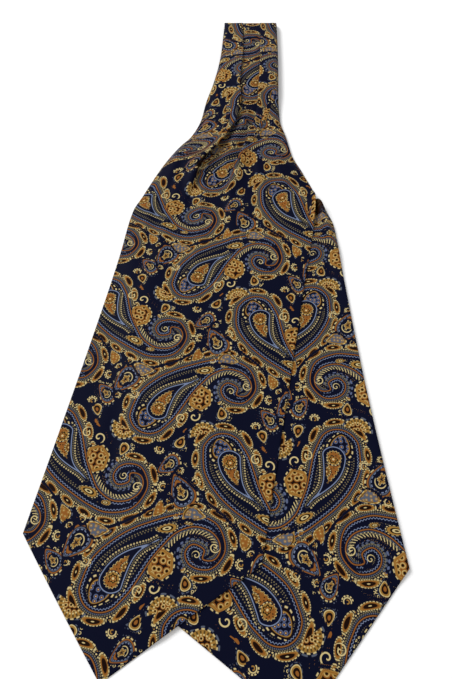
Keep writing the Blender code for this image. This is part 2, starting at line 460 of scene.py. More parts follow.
def small_motifs() -> tuple[SmallMotif, ...]:
    """The small motifs that go with each large paisley, from its spiral's centre."""
    return (
        SmallMotif(Kind.SCROLL, 0.0, -0.6, 60.0, 2.5),
        SmallMotif(Kind.SCROLL, 11.4, 4.6, 240.0, 3.2),
        SmallMotif(Kind.CLUSTER, -21.4, -6.4, -14.0, 9.6, 0.86),
        SmallMotif(Kind.SCROLL, -25.2, -20.2, 10.0, 4.3),
        SmallMotif(Kind.SCROLL, -34.0, -21.6, 190.0, 3.7),
        SmallMotif(Kind.POD, -18.6, 15.0, 108.0, 6.8, 0.42, 0.25, 0.06),
        SmallMotif(Kind.POD, -5.6, 19.4, 84.0, 3.6, 0.42, 0.35),
        SmallMotif(Kind.SHIELD, -58.2, -22.4, 148.0, 9.6, 0.86, 0.42),
        SmallMotif(Kind.FLOWER, -50.0, -14.6, 50.0, 4.6, 0.9),
        SmallMotif(Kind.FLOWER, -42.6, -8.2, 50.0, 2.9, 1.1),
        SmallMotif(Kind.DROP, -6.6, -17.6, 25.0, 4.6, 0.72, 0.5, 0.1),
        SmallMotif(Kind.DROP, -34.4, -39.0, -12.0, 4.6, 0.72, 0.5, 0.1),
        SmallMotif(Kind.SQUIGGLE, -30.8, -29.0, -25.0, 3.6, 0.26, 0.3, 0.25),
        SmallMotif(Kind.FAN, -72.8, -28.6, 148.0, 8.8, 1.0),
        SmallMotif(Kind.BUD, 29.0, 10.4, 55.0, 5.0, 0.76, 0.5, 0.2),
        SmallMotif(Kind.TEARDROP, 39.0, -4.6, 128.0, 11.6, 0.62, 0.6, -0.08),
        SmallMotif(Kind.TEARDROP, 26.0, -18.6, 60.0, 7.6, 0.7, 0.5, 0.12),
        SmallMotif(Kind.LEAF, 51.6, 6.2, -70.0, 7.2, 0.7, 0.6, 0.16),
        SmallMotif(Kind.RINGLET, 34.6, -17.6, 0.0, 2.8),
        SmallMotif(Kind.RINGLET, 17.4, -25.4, 90.0, 3.4),
        SmallMotif(Kind.RINGLET, 27.6, -3.0, 180.0, 3.4),
        SmallMotif(Kind.RINGLET, 47.0, -15.0, -60.0, 3.4),
        SmallMotif(Kind.RINGLET, 41.6, 9.8, 30.0, 3.0),
        SmallMotif(Kind.RINGLET, 34.0, 4.4, 120.0, 2.8),
    )


def unbroken(values: Array, limit: float) -> Array:
    """Find where a grid's values run on without a jump.

    Args:
        values: the grid.
        limit: the largest change to a neighbour that isn't a jump.

    Returns:
        1 where no neighbour is beyond a jump, and 0 beside one.
    """
    clear = np.ones(values.shape)
    for axis in (0, 1):
        jump = np.abs(np.diff(values, axis=axis)) > limit
        first = [slice(None), slice(None)]
        second = [slice(None), slice(None)]
        first[axis], second[axis] = slice(None, -1), slice(1, None)
        clear[tuple(first)][jump] = 0.0
        clear[tuple(second)][jump] = 0.0
    return clear


@dataclass
class PaisleyPrint:
    """An all-over paisley: two rows of large motifs, mirror images of each other, and small ones between."""

    across_repeat: tuple[float, float] = (116.2, 5.0)
    along_repeat: tuple[float, float] = (0.3, 114.0)
    upright_at: tuple[float, float] = (38.0, 79.5)
    flipped_at: tuple[float, float] = (-19.6, 118.5)
    upright_tilt: float = 10.5
    flipped_tilt: float = 4.2
    lean: float = 0.16
    reach: float = 16.0
    spiral: tuple[tuple[float, float], ...] = (
        (-395, 5.0), (-330, 5.6), (-250, 6.4), (-190, 6.9), (-130, 7.3), (-75, 9.4), (-35, 13.4), (10, 18.2),
        (55, 22.4), (95, 25.0), (122, 28.0), (144, 34.0), (160, 43.5), (172, 54.0), (183, 64.5))
    hollow: tuple[tuple[float, float], ...] = (
        (212, 52.0), (209, 44.0), (201, 35.5), (187, 27.6), (165, 21.0), (135, 18.2), (98, 17.0), (62, 16.6),
        (32, 16.2), (6, 14.6), (-18, 11.2))
    head_x: float = -56.0
    head_y: float = -20.0
    head_radius: float = 13.8
    head_arc: tuple[float, float] = (172.0, 300.0)
    spiral_corners: int = 4
    rope_corners: tuple[int, int] = (3, 9)
    middle: tuple[float, float] = (-24.0, -3.0)
    teardrop_at: tuple[float, float] = (-50.6, -15.2)
    teardrop_turn: float = 40.0
    teardrop_length: float = 35.0
    teardrop_half: float = 8.0
    teardrop_bow: float = 4.5
    teardrop_tip: tuple[float, float] = (37.0, 0.6)
    teardrop_butt: tuple[tuple[float, float], ...] = ((-5.6, -5.4), (-7.8, 0.0), (-5.6, 5.4))
    small: tuple[SmallMotif, ...] = field(default_factory=small_motifs)
    lean_from: float = 10.0
    thinnest: float = 0.12
    far: float = 4.0

    def __post_init__(self) -> None:
        """Work out the two outlines, and where the spiral ends and the rope runs on the large one."""
        head_angle = np.radians(np.linspace(*self.head_arc, 6))
        head = np.stack([self.head_x + self.head_radius * np.cos(head_angle),
                         self.head_y + self.head_radius * np.sin(head_angle)], axis=1)
        self.body = Outline(np.concatenate([polar(self.spiral), head, polar(self.hollow)]))
        count = len(self.spiral) + len(head)
        self.spiral_end = self.body.corner_at[self.spiral_corners]
        self.rope_start, self.rope_end = (self.body.corner_at[count + step] for step in self.rope_corners)
        self.teardrop = self.teardrop_outline()

    def teardrop_outline(self) -> Outline:
        """The teardrop in a head: sqrt(1 - s) (1 + cos(pi s)) / 2 wide beside a spine bowed as sin(pi s)."""
        spine = np.linspace(0.0, 1.0, 9)[:-1]
        swell = self.teardrop_half * np.sqrt(1 - spine) * (0.5 + 0.5 * np.cos(np.pi * spine))
        bow = self.teardrop_bow * np.sin(np.pi * spine)
        run = self.teardrop_length * spine
        side = np.stack([run, bow + swell], axis=1)
        other = np.stack([run, bow - swell], axis=1)[::-1]
        shape = np.concatenate([side, [self.teardrop_tip], other, self.teardrop_butt])
        turn = np.radians(self.teardrop_turn)
        spin = np.array([[np.cos(turn), np.sin(turn)], [-np.sin(turn), np.cos(turn)]])
        return Outline(shape @ spin + np.array(self.teardrop_at), pieces=4)

    def folded(self, across: Array, along: Array, centre: tuple[float, float]) -> tuple[Array, Array, Array]:
        """Count places from the nearest repeat of a centre.

        Args:
            across: places across the cloth.
            along: places along it.
            centre: one of the centres.

        Returns:
            The places across and up in the cloth's directions, and the repeats' matrix.
        """
        repeats = np.array([self.across_repeat, self.along_repeat]).T
        offset = np.stack([across - centre[0], along - centre[1]])
        steps = np.round(np.tensordot(np.linalg.inv(repeats), offset, 1))
        offset = offset - np.tensordot(repeats, steps, 1)
        return offset[0], offset[1], repeats

    def turned(self, across: Array, along: Array, flipped: bool) -> tuple[Array, Array]:
        """Turn the cloth's directions, and mirror them if flipped, to the motif's own.

        Args:
            across: places across.
            along: places up.
            flipped: whether the motif is the mirrored one.

        Returns:
            The places to the right and up in the motif.
        """
        tilt = np.radians(self.flipped_tilt if flipped else self.upright_tilt)
        up = -along if flipped else along
        return across * np.cos(tilt) + up * np.sin(tilt), up * np.cos(tilt) - across * np.sin(tilt)

    def home(self, x: float, y: float, flipped: bool) -> tuple[float, float]:
        """Find where a place in a motif's own directions lies in the cloth.

        Args:
            x: how far right of the motif's centre.
            y: how far up from it.
            flipped: whether the motif is the mirrored one.

        Returns:
            The place across and along the cloth.
        """
        tilt = np.radians(self.flipped_tilt if flipped else self.upright_tilt)
        centre = self.flipped_at if flipped else self.upright_at
        rise = x * np.sin(tilt) + y * np.cos(tilt)
        return centre[0] + x * np.cos(tilt) - y * np.sin(tilt), centre[1] + (-rise if flipped else rise)

    def large(self, across: Array, along: Array) -> tuple[Array, ...]:
        """Measure the cloth's points against the nearest large motif.

        Args:
            across: places across the cloth.
            along: places along it.

        Returns:
            Distance beside and place along the paisley's outline, then the same for its teardrop's.
        """
        found = [[np.full(across.shape, self.reach), np.zeros(across.shape)] for _ in range(2)]
        for flipped in (False, True):
            right, up, repeats = self.folded(across, along, self.home(*self.middle, flipped))
            for step in (-1, 0, 1):
                x, y = self.turned(right + step * repeats[0, 0], up + step * repeats[1, 0], flipped)
                x, y = x + self.middle[0], y + self.middle[1]
                for best, outline in zip(found, (self.body, self.teardrop)):
                    distance, place = outline.measure(x, y, self.reach)
                    nearer = distance < best[0]
                    best[:] = np.where(nearer, distance, best[0]), np.where(nearer, place, best[1])
        return (*found[0], *found[1])

    def small_places(self, across: Array, along: Array) -> tuple[Array, Array, Array, Array]:
        """Find each point's place in the nearest small motif, whose outline is 1 out from its middle.

        Args:
            across: places across the cloth.
            along: places along it.

        Returns:
            The place across and up in the motif, its kind's value, and its number.
        """
        best = np.full(across.shape, self.far)
        found_x = np.full(across.shape, self.far)
        found_y, kind, which = (np.zeros(across.shape) for _ in range(3))
        for flipped in (False, True):
            for number, motif in enumerate(self.small):
                lean = self.lean * max(motif.x - self.lean_from, 0.0) * (1.0 if flipped else -1.0)
                right, up, _ = self.folded(across, along, self.home(motif.x, motif.y + lean, flipped))
                x, y = self.turned(right, up, flipped)
                turn = np.radians(motif.turn)
                side, rise = x * np.cos(turn) + y * np.sin(turn), y * np.cos(turn) - x * np.sin(turn)
                rise = rise / motif.size
                side = side / motif.size - motif.bend * (rise + 1.0) ** 2
                side = side / (motif.slim * np.clip(1.0 - motif.taper * rise, self.thinnest, None))
                out = np.hypot(side, rise)
                nearer = out < best
                best = np.where(nearer, out, best)
                found_x, found_y = np.where(nearer, side, found_x), np.where(nearer, rise, found_y)
                kind = np.where(nearer, motif.kind.value, kind)
                which = np.where(nearer, number + len(self.small) * flipped, which)
        return found_x, found_y, kind, which

    def fields(self, across: Array, along: Array, cell: float) -> Fields:
        """The fields of a grid of points.

        Args:
            across: places across the cut cloth.
            along: places along it.
            cell: the largest change of a place along an outline that isn't a jump from one to another.

        Returns:
            The fields, with a point beside a jump marked as not clear.
        """
        distance, place, inner, inner_place = self.large(across, along)
        x, y, kind, which = self.small_places(across, along)
        nothing = np.zeros(across.shape)
        rows = ((distance, place, nothing), (inner, inner_place, nothing), (x, y, kind),
                (unbroken(place, cell), unbroken(inner_place, cell), unbroken(which, 0.5)))
        return Fields(*(np.stack(row, axis=-1) for row in rows))


@dataclass(frozen=True)
class MotifPlace:
    """Where a point lies in the nearest small motif, whose outline is 1 out from its middle."""

    side: Value
    rise: Value
    out: Value
    angle: Value

    def beads(self, count: float, limit: float = -0.2) -> Value:
        """1 on each of a number of beads round the motif, where sin(count angle) is over a limit."""
        return (self.angle * count).apply("SINE").over(limit, 0.5)

    def lobed(self, count: float, depth: float) -> Value:
        """Distance out with a number of lobes: out + depth sin(count angle)."""
        return self.out + (self.angle * count).apply("SINE") * depth


class PrintedSilk:
    """The printed twill: draws the paisley from the cloth's fields."""

    def __init__(self, name: str, design: PaisleyPrint, inks: Palette, finish_and_shade: SilkFinishAndShade) -> None:
        """Draw the print from its ground up, and set how the twill takes the light.

        Args:
            name: the material's name.
            design: the print's design.
            inks: its inks.
            finish_and_shade: the twill's finish, and how dark its painted shade is.
        """
        self.design = design
        self.inks = inks
        self.painter = Painter(name, inks.navy)
        self.clear_border, self.clear_drop, self.clear_motif = self.painter.attribute("clear")
        self.distance, self.place, _ = self.painter.attribute("border")
        cloth = self.painter.node("ShaderNodeAttribute", {"attribute_name": "cloth"}, {})
        self.cloth = cloth.outputs["Vector"]
        self.draw_ground()
        self.draw_border()
        self.draw_teardrop()
        self.draw_small()
        self.set_surface(finish_and_shade)
        self.material = self.painter.material

    def dot_rows(self, place: Value, distance: Value, rows: Sequence[tuple[Any, ...]]) -> None:
        """Print rows of round dots beside an outline, where sqrt(run^2 + beside^2) is under a radius.

        Args:
            place: distance along the outline.
            distance: distance out from it.
            rows: each row's shift along, distance out, period, radius, mask and ink.
        """
        for shift, out, period, radius, where, ink in rows:
            dots = (place + shift).cycle(period).reach(distance - out).below(radius)
            self.painter.lay(dots * where, ink)

    def net(self, size: float) -> Value:
        """Strew a net of points over the cloth.

        Args:
            size: about how far apart they are.

        Returns:
            Distance in mm from the nearest of them.
        """
        node = self.painter.node("ShaderNodeTexVoronoi", {"voronoi_dimensions": "2D", "feature": "F1"},
                                 {"Vector": self.cloth, "Scale": 1.0 / size, "Randomness": 0.5})
        return Value(self.painter.tree, node.outputs["Distance"]) * size

    def flowered(self, chosen: Value, size: float) -> None:
        """Fill a form with small gold flowers: rust between them, cream rings and dark eyes.

        Args:
            chosen: the form.
            size: about how far apart the flowers are.
        """
        lay, inks = self.painter.lay, self.inks
        away = self.net(size)
        lay(chosen, inks.rust)
        lay(away.over(0.56 * size, 0.1) * chosen, inks.dark)
        lay(away.below(0.44 * size, 0.12) * chosen, inks.gold)
        lay(away.near(0.33 * size, 0.12, 0.1) * chosen, inks.cream)
        lay(away.below(0.2 * size, 0.12) * chosen, inks.dark)

    def draw_ground(self) -> None:
        """The open ground: plain, with a lace of rings and specks beside the teardrops and drops."""
        lay, inks = self.painter.lay, self.inks
        side, rise, kind = self.painter.attribute("motif")
        out = side.reach(rise)
        beside = kind.near(Kind.TEARDROP.value, 0.3, 0.1) + kind.near(Kind.DROP.value, 0.3, 0.1)
        ground = beside * self.distance.over(8.4) * self.clear_motif.over(0.5)
        rings, specks = self.net(2.5).near(0.72, 0.2), self.net(1.9).below(0.42)
        lay(rings * out.near(1.42, 0.2, 0.05) * side.over(0.25, 0.1) * ground, inks.cream)
        lay(specks * out.near(1.3, 0.1, 0.05) * side.below(-0.3, 0.1) * ground, inks.slate)

    def draw_border(self) -> None:
        """The lines that run round a large paisley, and the pods, beads and ropes outside it."""
        lay, inks, design = self.painter.lay, self.inks, self.design
        distance, place = self.distance, self.place
        sound = self.clear_border.over(0.5)
        outer = place.over(design.spiral_end) * place.below(design.rope_start) * sound
        rope = place.over(design.rope_start) * place.below(design.rope_end) * sound
        curl = place.below(design.spiral_end) * sound
        pitch, half_length, middle, half_width = 13.4, 5.3, 5.3, 2.35
        run = (place + distance * 0.5).cycle(pitch)
        pod = (run / half_length).reach((distance - middle) / half_width)
        beads = place.wave(1.3).over(-0.4, 0.5)
        lay(pod.near(1.02, 0.1, 0.08) * beads * outer, inks.cream)
        lay(pod.below(0.9, 0.08) * outer, inks.gold)
        lay(pod.near(0.68, 0.08, 0.08) * outer, inks.rust)
        lay(pod.below(0.6, 0.08) * outer, inks.dark)
        lay(pod.below(0.15, 0.06) * place.cycle(2.0 * pitch).over(0.0) * outer, inks.cream)
        between = pod.over(1.18, 0.08) * outer
        strand = (place + distance * 0.9).cycle(2.6).near(0.0, 0.42) * distance.near(2.9, 1.5)
        self.dot_rows(place, distance, (
            (0.0, 3.5, 1.6, 0.46, between, inks.cream),
            (0.8, 5.0, 1.6, 0.42, between, inks.gold)))
        lay(strand * rope, inks.cream)
        self.dot_rows(place, distance, (
            (0.0, 3.0, 2.3, 0.8, curl, inks.slate),
            (1.1, 4.7, 2.7, 0.75, curl, inks.blue),
            (0.0, 6.4, 2.7, 0.45, curl, inks.slate),
            (0.0, 2.2, 1.25, 0.45, sound, inks.olive),
            (0.6, 1.2, 1.15, 0.42, sound, inks.slate)))
        lay(distance.near(0.0, 0.36), inks.rust)
        scallop = abs(place.wave(4.4))
        lay((scallop * 0.9 + distance + 1.0).near(0.0, 0.24) * sound, inks.pale)
        body = distance.below(-3.6) * sound
        self.dot_rows(place, distance, (
            (0.0, -4.3, 1.9, 0.45, body, inks.olive),
            (0.9, -5.5, 2.2, 0.38, body, inks.olive)))

    def draw_teardrop(self) -> None:
        """The teardrop in a paisley's head: a pale line, cream dots round it and a flowered spear in it."""
        lay, inks = self.painter.lay, self.inks
        distance, place, _ = self.painter.attribute("drop")
        sound = self.clear_drop.over(0.5)
        inside = self.distance.below(-2.6) * sound
        lay(distance.below(3.9) * inside, inks.navy)
        self.dot_rows(place, distance, (
            (0.0, 1.3, 1.3, 0.42, inside, inks.olive),
            (0.6, 2.7, 1.9, 0.55, inside, inks.cream),
            (0.6, 2.7, 1.9, 0.2, inside, inks.navy)))
        lay(distance.below(-0.4), inks.navy)
        lay(distance.near(0.0, 0.32), inks.pale)
        petal = distance + place.wave(3.1) * 0.35
        spear = petal.below(-2.9)
        lay(spear, inks.gold)
        lay(petal.below(-3.5), inks.rust)
        lay(self.net(2.2).below(0.42) * spear, inks.dark)
        lay(petal.near(-2.8, 0.2) * place.wave(1.1).over(-0.2, 0.5) * sound, inks.cream)

    def draw_small(self) -> None:
        """The small motifs: layers at set distances out from the middle of each, by its kind."""
        lay, inks = self.painter.lay, self.inks
        side, rise, kind = self.painter.attribute("motif")
        sound = self.clear_motif.over(0.5)
        at = MotifPlace(side, rise, side.reach(rise), rise.apply("ARCTAN2", side))
        from_drop = self.painter.attribute("drop")[0]
        chosen = {k: kind.near(k.value, 0.3, 0.1) * sound for k in Kind}
        chosen[Kind.CLUSTER] *= self.distance.over(0.9)
        chosen[Kind.FAN] *= self.distance.over(2.9) * rise.over(0.05, 0.05)
        chosen[Kind.SHIELD] *= self.distance.below(-2.4) * from_drop.over(0.7)
        chosen[Kind.FLOWER] *= from_drop.below(-1.4)
        leafy = chosen[Kind.DROP] + chosen[Kind.BUD] + chosen[Kind.LEAF] + chosen[Kind.FAN]
        beaded = chosen[Kind.POD] + chosen[Kind.CLUSTER]
        cleared = leafy + beaded + chosen[Kind.TEARDROP] + chosen[Kind.SHIELD]
        lay(at.out.below(1.16, 0.05) * cleared, inks.navy)
        lay(at.out.near(1.13, 0.06, 0.04) * at.beads(11.0, -0.3) * leafy, inks.slate)
        lay(at.out.near(1.0, 0.05, 0.04) * at.beads(15.0, -0.1) * (beaded + chosen[Kind.FAN]), inks.cream)
        self.fill_drop(at, chosen[Kind.DROP])
        self.fill_cluster(at, chosen[Kind.CLUSTER])
        self.fill_teardrop(at, chosen[Kind.TEARDROP])
        self.fill_bud(at, chosen[Kind.BUD], inks.rust)
        self.fill_bud(at, chosen[Kind.LEAF], inks.slate)
        self.fill_fan(at, chosen[Kind.FAN])
        self.fill_flower(at, chosen[Kind.FLOWER])
        self.fill_pod(at, chosen[Kind.POD])
        self.fill_shield(at, chosen[Kind.SHIELD])
        curl = (at.out - at.angle * (0.9 / FULL_TURN)).cycle(0.9)
        lay(curl.near(0.0, 0.11, 0.05) * at.out.below(1.1, 0.05) * chosen[Kind.SCROLL], inks.cream)
        self.fill_ringlet(at, chosen[Kind.RINGLET])
        lay(at.out.below(1.0, 0.05) * chosen[Kind.SQUIGGLE], inks.rust)

    def fill_drop(self, at: MotifPlace, chosen: Value) -> None:
        """A small drop: cream ring, gold, and a dark core with a spark of rust.

        Args:
            at: where the points lie in their motifs.
            chosen: where the drops are.
        """
        lay, inks = self.painter.lay, self.inks
        lay(at.out.near(0.88, 0.06, 0.04) * chosen, inks.cream)
        lay(at.out.near(0.72, 0.1, 0.04) * chosen, inks.gold)
        lay(at.out.below(0.58, 0.05) * chosen, inks.dark)
        lay(at.out.below(0.3, 0.05) * chosen, inks.rust)

    def fill_cluster(self, at: MotifPlace, chosen: Value) -> None:
        """A cluster of gold flowers within a lobed edge.

        Args:
            at: where the points lie in their motifs.
            chosen: where the clusters are.
        """
        lay, inks = self.painter.lay, self.inks
        lobes = at.lobed(6.0, 0.05)
        self.flowered(lobes.below(0.92, 0.05) * chosen, 4.4)
        lay(lobes.near(0.84, 0.1, 0.04) * chosen, inks.gold)
        lay(lobes.near(0.84, 0.025, 0.03) * chosen, inks.rust)

    def fill_teardrop(self, at: MotifPlace, chosen: Value) -> None:
        """A teardrop: rust outline, pale line, and a small flower, a crescent and a spark on navy.

        Args:
            at: where the points lie in their motifs.
            chosen: where the teardrops are.
        """
        lay, inks, out = self.painter.lay, self.inks, at.out
        fine = at.beads(17.0)
        lay(out.near(1.1, 0.05, 0.04) * fine * at.rise.below(0.3, 0.1) * chosen, inks.cream)
        lay(out.near(0.96, 0.05, 0.03) * chosen, inks.rust)
        lay(out.near(0.83, 0.035, 0.03) * chosen, inks.slate)
        lay(out.near(0.74, 0.03, 0.03) * fine * chosen, inks.pale)
        petals = at.lobed(5.0, 0.07)
        lay(petals.near(0.2, 0.07, 0.04) * chosen, inks.gold)
        lay(petals.near(0.3, 0.03, 0.03) * fine * chosen, inks.cream)
        lay(out.near(0.5, 0.03, 0.03) * at.rise.below(-0.16, 0.1) * chosen, inks.cream)
        lay(out.near(0.58, 0.08, 0.05) * at.rise.over(0.42, 0.08) * chosen, inks.rust)

    def fill_bud(self, at: MotifPlace, chosen: Value, heart: Ink) -> None:
        """A bud or leaf: cream and gold edge and a speckled heart.

        Args:
            at: where the points lie in their motifs.
            chosen: where the buds are.
            heart: the heart's ink.
        """
        lay, inks = self.painter.lay, self.inks
        lay(at.out.below(0.98, 0.05) * chosen, inks.gold)
        lay(at.out.near(0.94, 0.05, 0.04) * at.beads(13.0) * chosen, inks.cream)
        lay(at.out.near(0.74, 0.04, 0.04) * chosen, inks.dark)
        inner = at.lobed(3.0, 0.08).below(0.7, 0.08) * chosen
        spots = self.net(2.6)
        lay(inner, heart)
        lay(spots.near(0.7, 0.22) * inner, inks.gold)
        lay(spots.below(0.3) * inner, inks.cream)

    def fill_flower(self, at: MotifPlace, chosen: Value) -> None:
        """A round flower: cream beads, a gold ring, rust petals and a bright eye.

        Args:
            at: where the points lie in their motifs.
            chosen: where the flowers are.
        """
        lay, inks = self.painter.lay, self.inks
        lay(at.out.below(1.12, 0.06) * chosen, inks.navy)
        lay(at.out.near(0.94, 0.08, 0.05) * at.beads(12.0) * chosen, inks.cream)
        lay(at.out.below(0.84, 0.05) * chosen, inks.gold)
        lay(at.lobed(6.0, 0.1).near(0.52, 0.1, 0.05) * chosen, inks.dark)
        lay(at.out.below(0.36, 0.05) * chosen, inks.rust)
        lay(at.out.below(0.18, 0.05) * chosen, inks.cream)

    def fill_fan(self, at: MotifPlace, chosen: Value) -> None:
        """A shell: rust and gold rays at its edge, a row of cream dots and a flowered heart.

        Args:
            at: where the points lie in their motifs.
            chosen: where the shells are.
        """
        lay, inks = self.painter.lay, self.inks
        rays = 20.0
        lay(at.out.below(0.94, 0.05) * chosen, inks.gold)
        lay(at.beads(rays, 0.1) * at.out.near(0.8, 0.1, 0.05) * chosen, inks.earth)
        lay(at.out.near(0.66, 0.05, 0.04) * at.beads(rays, 0.0) * chosen, inks.cream)
        self.flowered(at.out.below(0.58, 0.05) * chosen, 3.0)

    def fill_pod(self, at: MotifPlace, chosen: Value) -> None:
        """A pod: gold, a dark core and a cream ring in it.

        Args:
            at: where the points lie in their motifs.
            chosen: where the pods are.
        """
        lay, inks = self.painter.lay, self.inks
        lay(at.out.below(0.88, 0.05) * chosen, inks.gold)
        lay(at.out.below(0.6, 0.05) * chosen, inks.dark)
        lay(at.out.near(0.3, 0.1, 0.05) * chosen, inks.cream)

    def fill_shield(self, at: MotifPlace, chosen: Value) -> None:
        """The shield behind a head's teardrop: beads, a dark and a gold line, and blue cells on navy.

        Args:
            at: where the points lie in their motifs.
            chosen: where the shields are.
        """
        lay, inks = self.painter.lay, self.inks
        lay(at.out.near(0.97, 0.05, 0.04) * at.beads(15.0, -0.1) * chosen, inks.cream)
        lay(at.out.near(0.82, 0.06, 0.03) * chosen, inks.dark)
        lay(at.out.near(0.71, 0.04, 0.03) * chosen, inks.gold)
        heart = at.out.below(0.67, 0.05) * chosen
        spots = self.net(3.4)
        lay(heart, inks.navy)
        lay(spots.near(1.15, 0.3) * heart, inks.blue)
        lay(spots.below(0.62, 0.12) * heart, inks.rust)
        lay(spots.below(0.3, 0.12) * heart, inks.cream)

    def fill_ringlet(self, at: MotifPlace, chosen: Value) -> None:
        """A ringlet: half rings within each other, the outer one beaded.

        Args:
            at: where the points lie in their motifs.
            chosen: where the ringlets are.
        """
        lay, inks = self.painter.lay, self.inks
        beads = at.out.near(0.98, 0.12, 0.05) * at.beads(11.0, -0.3)
        lay(beads * at.side.over(0.1, 0.1) * chosen, inks.cream)
        lay(at.out.near(0.68, 0.1, 0.05) * at.side.over(-0.3, 0.1) * chosen, inks.cream)
        lay(at.out.near(0.3, 0.1, 0.05) * at.rise.over(-0.12, 0.1) * chosen, inks.gold)

    def set_surface(self, finish_and_shade: SilkFinishAndShade) -> None:
        """Painted shade over pleats' insides and the pocket, fine diagonal twill in the bump, and the sheen
        of silk.

        Args:
            finish_and_shade: the twill's finish, and how dark its painted shade is.
        """
        painter = self.painter
        across, along, painted_shade = painter.attribute("cloth")
        # Painted shade: dark ink laid over the insides of closed pleats and over the shoulder's pocket.
        painter.lay(painted_shade * finish_and_shade.hollow, self.inks.dark)
        rib = (across + along).wave(finish_and_shade.twill_pitch)
        bump = painter.node("ShaderNodeBump", {},
                            {"Height": rib, "Strength": finish_and_shade.twill_depth, "Distance": MM})
        painter.connect(painter.shader, {
            "Normal": bump.outputs[0], "Base Color": painter.colour, "Roughness": finish_and_shade.roughness,
            "Specular IOR Level": finish_and_shade.specular, "Sheen Weight": finish_and_shade.sheen,
            "Sheen Roughness": finish_and_shade.sheen_roughness})


@dataclass(frozen=True)
class PrintLay:
    """How the print lies on a piece: its shift, scale and sideways drift, and whether it is turned round."""


    across: float = 0.0
    along: float = 0.0
    scale: float = 1.0
    drift: float = 0.0
    drift_from: float = 235.0
    drift_over: float = 130.0
    turned: bool = False

    def place(self, across: Array, along: Array) -> tuple[Array, Array]:
        """Find places of the cloth in the print.

        Args:
            across: places across the cloth.
            along: places along it.

        Returns:
            The places across and along the print.
        """
        sign = -1.0 if self.turned else 1.0
        drift = self.drift * smoothstep((along - self.drift_from) / self.drift_over)
        return sign * across + self.across - drift, sign * self.scale * along + self.along


class PrintedCloth:
    """A mesh of printed cloth whose points come as grids, each with its own places in the cloth."""

    def __init__(self, name: str, silk: PrintedSilk, lay: PrintLay) -> None:
        """Start a piece.

        Args:
            name: the piece's name.
            silk: its material.
            lay: how the print lies on it.
        """
        self.name = name
        self.silk = silk
        self.lay = lay
        self.points: list[Array] = []
        self.layers: dict[str, list[Array]] = {}

    def add_grid(self, points: Array, across: Array, along: Array, cell: float, painted_shade: Any = 0.0) -> Array:
        """Add a grid of points.

        Args:
            points: their places.
            across: places across the cloth, one for each point.
            along: places along it.
            cell: the largest change of a place along an outline from one point to the next.
            painted_shade: how far each point's colour is darkened as painted shade of a pleat or hollow.

        Returns:
            The points' numbers, as a grid.
        """
        before = sum(len(part) for part in self.points)
        across, along = self.lay.place(across, along)
        fields = self.silk.design.fields(across, along, cell)
        # Its third part is the painted shade.
        cloth = np.stack([across, along, painted_shade + np.zeros(across.shape)], axis=-1)
        self.points.append(points.reshape(-1, 3))
        for key, values in {**vars(fields), "cloth": cloth}.items():
            self.layers.setdefault(key, []).append(values.reshape(-1, 3))
        return np.arange(across.size).reshape(across.shape) + before

    def build(self, faces: list[list[int]], node: str, slot: str) -> bpy.types.Object:
        """Make the object, and let it stand for a solid of the frame.

        Args:
            faces: the faces' point numbers.
            node: the solid that it stands for.
            slot: that solid's material slot; not used.

        Returns:
            The object.
        """
        mesh = bpy.data.meshes.new(self.name)
        mesh.from_pydata((np.concatenate(self.points) * MM).tolist(), [], faces)
        for key, parts in self.layers.items():
            values = np.concatenate(parts).astype(np.float32)
            mesh.attributes.new(key, "FLOAT_VECTOR", "POINT").data.foreach_set("vector", values.ravel())
        mesh.materials.append(self.silk.material)
        mesh.shade_smooth()
        mesh.update()
        item = bpy.data.objects.new(self.name, mesh)
        bpy.context.scene.collection.objects.link(item)
        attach(item, "root")
        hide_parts(node)
        LOG.info("%s: %d faces", self.name, len(faces))
        return item


def quads(index: Array) -> Array:
    """The quads of a grid of point numbers."""
    return np.stack([index[:-1, :-1], index[:-1, 1:], index[1:, 1:], index[1:, :-1]], axis=-1).reshape(-1, 4)


def around(index: Array) -> Array:
    """A grid's border, once round."""
    return np.concatenate([index[0, :], index[1:, -1], index[-1, -2::-1], index[-2:0:-1, 0]])


class ClothShell(PrintedCloth):
    """A closed shell of cloth: a fine upper skin, and an underside of every third row and column.

    The underside comes down to LOWEST over the surface, and its print is the upper one mirrored. JUMP and
    JUMP_BELOW are the largest steps of a place along an outline from point to point.
    """

    STRIDE = 3
    LOWEST = 0.02
    MIRRORED_AT = 7.0
    JUMP, JUMP_BELOW = 6.0, 16.0

    def shell(self, skin: Skin, node: str, slot: str) -> bpy.types.Object:
        """Build the shell on both sides of its middle surface.

        Args:
            skin: the middle surface.
            node: the solid that it stands for.
            slot: that solid's material slot.

        Returns:
            The object.
        """
        coarse = (slice(None, None, self.STRIDE),) * 2
        normal = np.cross(np.gradient(skin.points, axis=1), np.gradient(skin.points, axis=0))
        normal /= np.maximum(np.linalg.norm(normal, axis=2, keepdims=True), 1e-9)
        offset = skin.half_wall[..., None] * normal
        bottom = (skin.points - offset)[coarse]
        bottom[..., 2] = np.maximum(bottom[..., 2], self.LOWEST)
        index = self.add_grid(skin.points + offset, skin.across, skin.along, self.JUMP, skin.painted_shade)
        below = self.add_grid(bottom, self.MIRRORED_AT - skin.across[coarse], skin.along[coarse],
                              self.JUMP_BELOW)
        rim, rim_below = around(index), around(below)
        fine = np.append(rim, rim[0])
        starts = np.arange(0, len(rim), self.STRIDE)
        back = [fine[starts + step] for step in range(self.STRIDE, 0, -1)]
        band = np.stack([fine[starts], rim_below, np.roll(rim_below, -1), *back], axis=-1)
        return self.build(quads(index).tolist() + quads(below)[:, ::-1].tolist() + band.tolist(), node, slot)


def even_shares(count: int, width: float) -> Array:
    """Share out points across a flat blade: close together at its two edges and even between them.

    Args:
        count: how many points.
        width: the blade's width.

    Returns:
        Shares of the way from the left edge to the right edge.
    """
    edge = EDGE_COLUMNS / width
    middle = np.linspace(edge[-1], 1 - edge[-1], count - 2 * len(edge) + 2)[1:-1]
    return np.concatenate([edge, middle, 1 - edge[::-1]])


